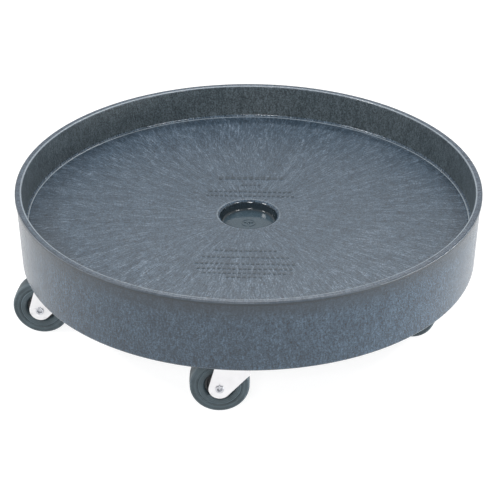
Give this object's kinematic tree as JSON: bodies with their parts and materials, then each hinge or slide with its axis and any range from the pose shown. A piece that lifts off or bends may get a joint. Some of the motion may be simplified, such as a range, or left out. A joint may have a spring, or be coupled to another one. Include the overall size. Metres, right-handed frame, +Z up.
{
  "type": "drum dolly",
  "caption": "Round one-piece dish with a raised rim that a drum stands in, carried by swivel casters under the deck.",
  "frame": {"origin": "on the floor, under the middle of the dish", "axes": "+Z up along the dish's axis, -Y towards the front caster, +X to the right of it"},
  "size_m": [0.6162, 0.616, 0.182],
  "materials": {
    "dish_foam": "structural foam with swirl, satin",
    "zinc": "bright zinc plate",
    "steel": "bright steel",
    "nylon": "plain bearing plastic",
    "core": "hard plastic, satin",
    "tyre": "grey rubber, matt"
  },
  "bodies": {
    "root": {"dish": "dish_foam", "front_top_plate": "zinc", "front_mounting_screws": "zinc", "front_king_pin": "steel", "front_race_washer": "zinc", "right_top_plate": "zinc", "right_mounting_screws": "zinc", "right_king_pin": "steel", "right_race_washer": "zinc", "rear_right_top_plate": "zinc", "rear_right_mounting_screws": "zinc", "rear_right_king_pin": "steel", "rear_right_race_washer": "zinc", "rear_left_top_plate": "zinc", "rear_left_mounting_screws": "zinc", "rear_left_king_pin": "steel", "rear_left_race_washer": "zinc", "left_top_plate": "zinc", "left_mounting_screws": "zinc", "left_king_pin": "steel", "left_race_washer": "zinc"},
    "front_swivel": {"front_fork": "zinc", "front_swivel_balls": "steel", "front_axle_rivet": "zinc", "front_spanner_bushing": "steel"},
    "front_wheel": {"front_wheel_bearing": "nylon", "front_wheel_core": "core", "front_tyre": "tyre"},
    "right_swivel": {"right_fork": "zinc", "right_swivel_balls": "steel", "right_axle_rivet": "zinc", "right_spanner_bushing": "steel"},
    "right_wheel": {"right_wheel_bearing": "nylon", "right_wheel_core": "core", "right_tyre": "tyre"},
    "rear_right_swivel": {"rear_right_fork": "zinc", "rear_right_swivel_balls": "steel", "rear_right_axle_rivet": "zinc", "rear_right_spanner_bushing": "steel"},
    "rear_right_wheel": {"rear_right_wheel_bearing": "nylon", "rear_right_wheel_core": "core", "rear_right_tyre": "tyre"},
    "rear_left_swivel": {"rear_left_fork": "zinc", "rear_left_swivel_balls": "steel", "rear_left_axle_rivet": "zinc", "rear_left_spanner_bushing": "steel"},
    "rear_left_wheel": {"rear_left_wheel_bearing": "nylon", "rear_left_wheel_core": "core", "rear_left_tyre": "tyre"},
    "left_swivel": {"left_fork": "zinc", "left_swivel_balls": "steel", "left_axle_rivet": "zinc", "left_spanner_bushing": "steel"},
    "left_wheel": {"left_wheel_bearing": "nylon", "left_wheel_core": "core", "left_tyre": "tyre"}
  },
  "joints": [
    {"name": "front_swivel_turn", "type": "hinge", "parent": "root", "child": "front_swivel", "pos_m": [0, -0.25474, 0.0868], "axis": [0, 0, 1], "continuous": true},
    {"name": "front_wheel_spin", "type": "hinge", "parent": "front_swivel", "child": "front_wheel", "pos_m": [-0.02746, -0.25618, 0.038], "axis": [-0.0523, 0.9986, 0], "continuous": true},
    {"name": "right_swivel_turn", "type": "hinge", "parent": "root", "child": "right_swivel", "pos_m": [0.24228, -0.07872, 0.0868], "axis": [0, 0, 1], "continuous": true},
    {"name": "right_wheel_spin", "type": "hinge", "parent": "right_swivel", "child": "right_wheel", "pos_m": [0.21612, -0.07022, 0.038], "axis": [0.309, 0.9511, 0], "continuous": true},
    {"name": "rear_right_swivel_turn", "type": "hinge", "parent": "root", "child": "rear_right_swivel", "pos_m": [0.14974, 0.20609, 0.0868], "axis": [0, 0, 1], "continuous": true},
    {"name": "rear_right_wheel_spin", "type": "hinge", "parent": "rear_right_swivel", "child": "rear_right_wheel", "pos_m": [0.12461, 0.19491, 0.038], "axis": [-0.4067, 0.9135, 0], "continuous": true},
    {"name": "rear_left_swivel_turn", "type": "hinge", "parent": "root", "child": "rear_left_swivel", "pos_m": [-0.14974, 0.20609, 0.0868], "axis": [0, 0, 1], "continuous": true},
    {"name": "rear_left_wheel_spin", "type": "hinge", "parent": "rear_left_swivel", "child": "rear_left_wheel", "pos_m": [-0.17642, 0.21274, 0.038], "axis": [0.2419, 0.9703, 0], "continuous": true},
    {"name": "left_swivel_turn", "type": "hinge", "parent": "root", "child": "left_swivel", "pos_m": [-0.24228, -0.07872, 0.0868], "axis": [0, 0, 1], "continuous": true},
    {"name": "left_wheel_spin", "type": "hinge", "parent": "left_swivel", "child": "left_wheel", "pos_m": [-0.26963, -0.07585, 0.038], "axis": [0.1045, 0.9945, 0], "continuous": true}
  ]
}
